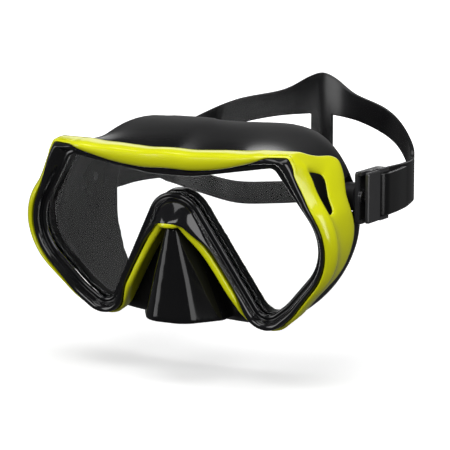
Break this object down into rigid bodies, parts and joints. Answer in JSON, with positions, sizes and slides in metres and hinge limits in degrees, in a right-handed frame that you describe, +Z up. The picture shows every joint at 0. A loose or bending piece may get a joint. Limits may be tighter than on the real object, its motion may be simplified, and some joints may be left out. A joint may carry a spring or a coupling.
{
  "type": "diving mask",
  "caption": "Single-lens diving mask with a black bezel and nose hood, outer frame with open side wings, silicone skirt, ratchet buckles and a split head strap.",
  "frame": {"origin": "middle of the face seal, between the temples, 50 mm behind the front of the glass", "axes": "+X to the wearer's left, -Y where the wearer looks, +Z up; the mask is symmetric about the YZ plane"},
  "size_m": [0.1786, 0.1796, 0.115],
  "materials": {
    "glass": "clear polished",
    "bezel_black": "gloss",
    "frame_yellow": "gloss",
    "silicone_black": "satin",
    "strap_silicone": "gloss",
    "buckle_black": "semi-gloss",
    "steel": "bright",
    "spring_steel": "bright"
  },
  "bodies": {
    "mask": {"lens": "glass", "front_bezel": "bezel_black", "outer_frame": "frame_yellow", "skirt": "silicone_black", "strap_anchor_left": "buckle_black", "strap_anchor_right": "buckle_black", "swivel_pin_left": "steel", "swivel_pin_right": "steel"},
    "harness": {"head_strap": "strap_silicone", "buckle_body_left": "buckle_black", "buckle_body_right": "buckle_black", "roller_axle_left": "steel", "roller_axle_right": "steel", "lever_pin_left": "steel", "lever_pin_right": "steel", "lever_spring_left": "spring_steel", "lever_spring_right": "spring_steel"},
    "lever_left": {"release_lever_left": "buckle_black"},
    "lever_right": {"release_lever_right": "buckle_black"},
    "roller_left": {"strap_roller_left": "buckle_black"},
    "roller_right": {"strap_roller_right": "buckle_black"}
  },
  "joints": [
    {"name": "strap_swivel", "type": "hinge", "parent": "mask", "child": "harness", "pos_m": [0, -0.0115, 0.018], "axis": [1, 0, 0], "range_deg": [-35, 33]},
    {"name": "release_left", "type": "hinge", "parent": "harness", "child": "lever_left", "pos_m": [0.0834, -0.0054, 0.018], "axis": [0, 0, 1], "range_deg": [-10, 0], "stiffness_Nm_per_rad": 0.05},
    {"name": "roller_left", "type": "hinge", "parent": "harness", "child": "roller_left", "pos_m": [0.0834, 0.0043, 0.018], "axis": [0, 0, 1], "continuous": true},
    {"name": "release_right", "type": "hinge", "parent": "harness", "child": "lever_right", "pos_m": [-0.0834, -0.0054, 0.018], "axis": [0, 0, 1], "range_deg": [0, 10], "stiffness_Nm_per_rad": 0.05},
    {"name": "roller_right", "type": "hinge", "parent": "harness", "child": "roller_right", "pos_m": [-0.0834, 0.0043, 0.018], "axis": [0, 0, 1], "continuous": true}
  ]
}
